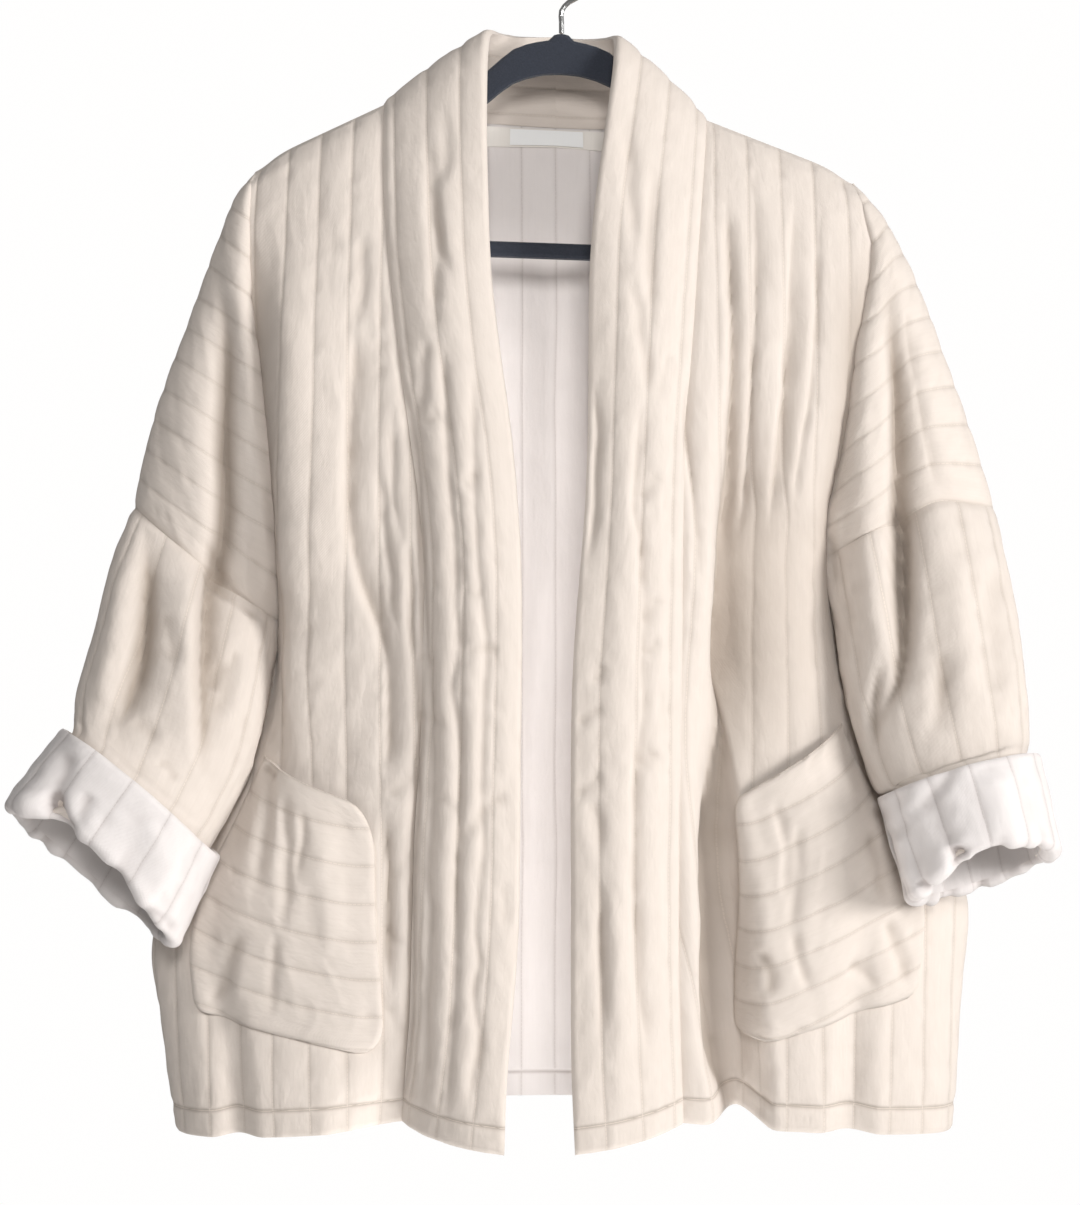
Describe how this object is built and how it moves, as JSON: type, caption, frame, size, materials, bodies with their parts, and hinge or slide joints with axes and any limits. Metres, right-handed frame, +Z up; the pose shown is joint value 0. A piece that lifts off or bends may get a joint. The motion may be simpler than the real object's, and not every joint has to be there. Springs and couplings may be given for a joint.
{
  "type": "quilted coat on a hanger",
  "caption": "Open-front quilted coat with a long shawl band, dropped shoulders, turned-up sleeve ends and patch pockets, hanging on a flocked hanger.",
  "frame": {"origin": "inside top of the hanger's hook, where it bears on a rail", "axes": "+Z up, +X to the wearer's left, front of the coat towards -Y, hanger in the plane y = 0"},
  "size_m": [0.7419, 0.2149, 0.8746],
  "materials": {
    "oatmeal_gauze": "crinkled cotton gauze quilted over thin wadding",
    "pale_lining": "pale plain-woven cotton",
    "label_weave": "smooth white satin weave",
    "navy_flock": "dark flocked coating",
    "bright_steel": "bright plated wire"
  },
  "bodies": {
    "root": {"back": "oatmeal_gauze", "front_right": "oatmeal_gauze", "front_left": "oatmeal_gauze", "sleeve_right": "oatmeal_gauze", "sleeve_left": "oatmeal_gauze", "cuff_right": "pale_lining", "cuff_left": "pale_lining", "collar_right": "oatmeal_gauze", "collar_left": "oatmeal_gauze", "pocket_right": "oatmeal_gauze", "pocket_left": "oatmeal_gauze", "neck_tape": "oatmeal_gauze", "neck_label": "label_weave", "hanger": "navy_flock", "hanger_hook": "bright_steel"}
  },
  "joints": []
}
